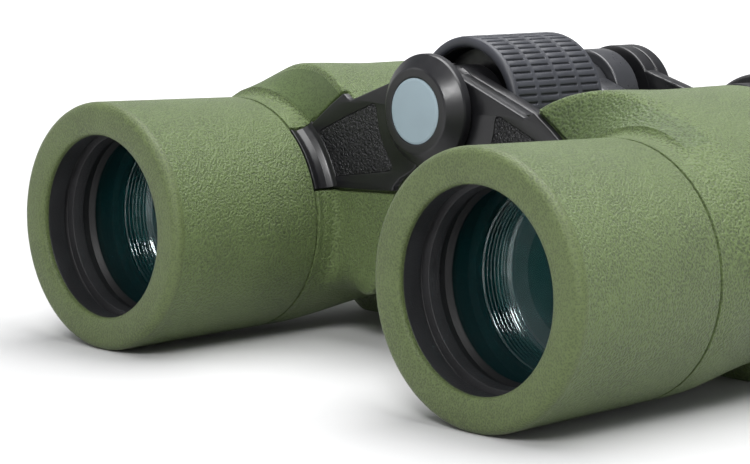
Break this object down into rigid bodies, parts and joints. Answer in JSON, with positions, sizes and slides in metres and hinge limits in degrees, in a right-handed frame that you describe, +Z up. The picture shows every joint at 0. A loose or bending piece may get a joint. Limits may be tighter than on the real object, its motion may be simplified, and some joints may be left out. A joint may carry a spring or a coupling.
{
  "type": "binoculars",
  "caption": "Centre-focus Porro-prism binoculars in rubber armour, with folding hinge, focus wheel, dioptre ring, twist-up eyecups and a tripod socket under the hinge cap.",
  "frame": {"origin": "centre of the underside: midway between the two halves, midway from the front rims to the eyecups, at the height of the surface that the sleeves and feet rest on", "axes": "+Z up, -Y is where the objectives look, +X is the user's left half seen from the eyepieces"},
  "size_m": [0.1884, 0.154, 0.078],
  "materials": {
    "sleeve_rubber": "matte, fine pebble grain",
    "armor_rubber": "matte, leather grain",
    "black_plastic": "satin",
    "black_metal": "matte black anodised",
    "case_metal": "matte",
    "graphite": "satin graphite",
    "wheel_rubber": "ribbed, matte",
    "grain": "leather grain",
    "label": "smooth",
    "steel": "turned",
    "lens": "coated green",
    "prism": "polished",
    "eyecup_rubber": "matte"
  },
  "bodies": {
    "left_half": {"left_objective_sleeve": "sleeve_rubber", "left_objective_tube": "black_metal", "left_front_ring": "black_metal", "left_retaining_ring": "black_metal", "left_crown_lens": "lens", "left_flint_lens": "lens", "left_baffle_tube": "black_metal", "left_prism_housing": "case_metal", "left_armor": "armor_rubber", "left_front_prism": "prism", "left_rear_prism": "prism", "left_prism_shelf": "case_metal", "left_prism_clips": "steel", "left_rear_cover": "black_plastic", "left_cover_screws": "steel", "left_strap_lug": "black_plastic", "left_bridge": "black_plastic", "left_bridge_inlay": "grain", "left_rear_lug": "graphite", "hinge_axle": "steel"},
    "right_half": {"right_objective_sleeve": "sleeve_rubber", "right_objective_tube": "black_metal", "right_front_ring": "black_metal", "right_retaining_ring": "black_metal", "right_crown_lens": "lens", "right_flint_lens": "lens", "right_baffle_tube": "black_metal", "right_prism_housing": "case_metal", "right_armor": "armor_rubber", "right_front_prism": "prism", "right_rear_prism": "prism", "right_prism_shelf": "case_metal", "right_prism_clips": "steel", "right_rear_cover": "black_plastic", "right_cover_screws": "steel", "right_strap_lug": "black_plastic", "right_bridge": "black_plastic", "right_bridge_inlay": "grain", "right_rear_lug": "graphite"},
    "cap": {"hinge_cap": "black_plastic", "cap_disc": "label"},
    "focus_wheel": {"wheel_core": "black_plastic", "wheel_grip": "wheel_rubber"},
    "left_carriage": {"focus_spindle": "steel", "bridge_end_cap": "graphite", "left_eyepiece_arm": "black_plastic", "left_ocular_barrel": "black_plastic", "left_field_lens": "lens", "left_eye_lens": "lens"},
    "right_carriage": {"right_eyepiece_arm": "black_plastic"},
    "dioptre": {"dioptre_ring": "black_plastic"},
    "right_ocular": {"right_ocular_barrel": "black_plastic", "right_field_lens": "lens", "right_eye_lens": "lens"},
    "left_eyecup": {"left_eyecup": "eyecup_rubber"},
    "right_eyecup": {"right_eyecup": "eyecup_rubber"}
  },
  "joints": [
    {"name": "ipd_hinge", "type": "hinge", "parent": "left_half", "child": "right_half", "pos_m": [0, 0, 0.0609], "axis": [0, 1, 0], "range_deg": [-38, 28]},
    {"name": "cap_slide", "type": "slide", "parent": "left_half", "child": "cap", "axis": [0, -1, 0], "range_m": [0, 0.03]},
    {"name": "left_focus", "type": "slide", "parent": "left_half", "child": "left_carriage", "axis": [0, 1, 0], "range_m": [-0.0025, 0.0055]},
    {"name": "right_focus", "type": "slide", "parent": "right_half", "child": "right_carriage", "axis": [0, 1, 0], "range_m": [-0.0026, 0.0056]},
    {"name": "focus_turn", "type": "hinge", "parent": "left_half", "child": "focus_wheel", "pos_m": [0, 0, 0.0609], "axis": [0, 1, 0], "range_deg": [-127, 277]},
    {"name": "right_ocular_slide", "type": "slide", "parent": "right_carriage", "child": "right_ocular", "axis": [0, 1, 0], "range_m": [-0.0011, 0.0011]},
    {"name": "dioptre_turn", "type": "hinge", "parent": "right_carriage", "child": "dioptre", "pos_m": [-0.034, 0.05, 0.0484], "axis": [0, 1, 0], "range_deg": [-62, 62]},
    {"name": "left_eyecup_slide", "type": "slide", "parent": "left_carriage", "child": "left_eyecup", "axis": [0, 1, 0], "range_m": [0, 0.008]},
    {"name": "right_eyecup_slide", "type": "slide", "parent": "right_ocular", "child": "right_eyecup", "axis": [0, 1, 0], "range_m": [0, 0.008]}
  ],
  "couplings": [
    {"joint": "focus_turn", "follows": "left_focus", "rad_per_m": 872.66},
    {"joint": "right_focus", "follows": "left_focus", "ratio": 1},
    {"joint": "dioptre_turn", "follows": "right_ocular_slide", "rad_per_m": 952}
  ]
}
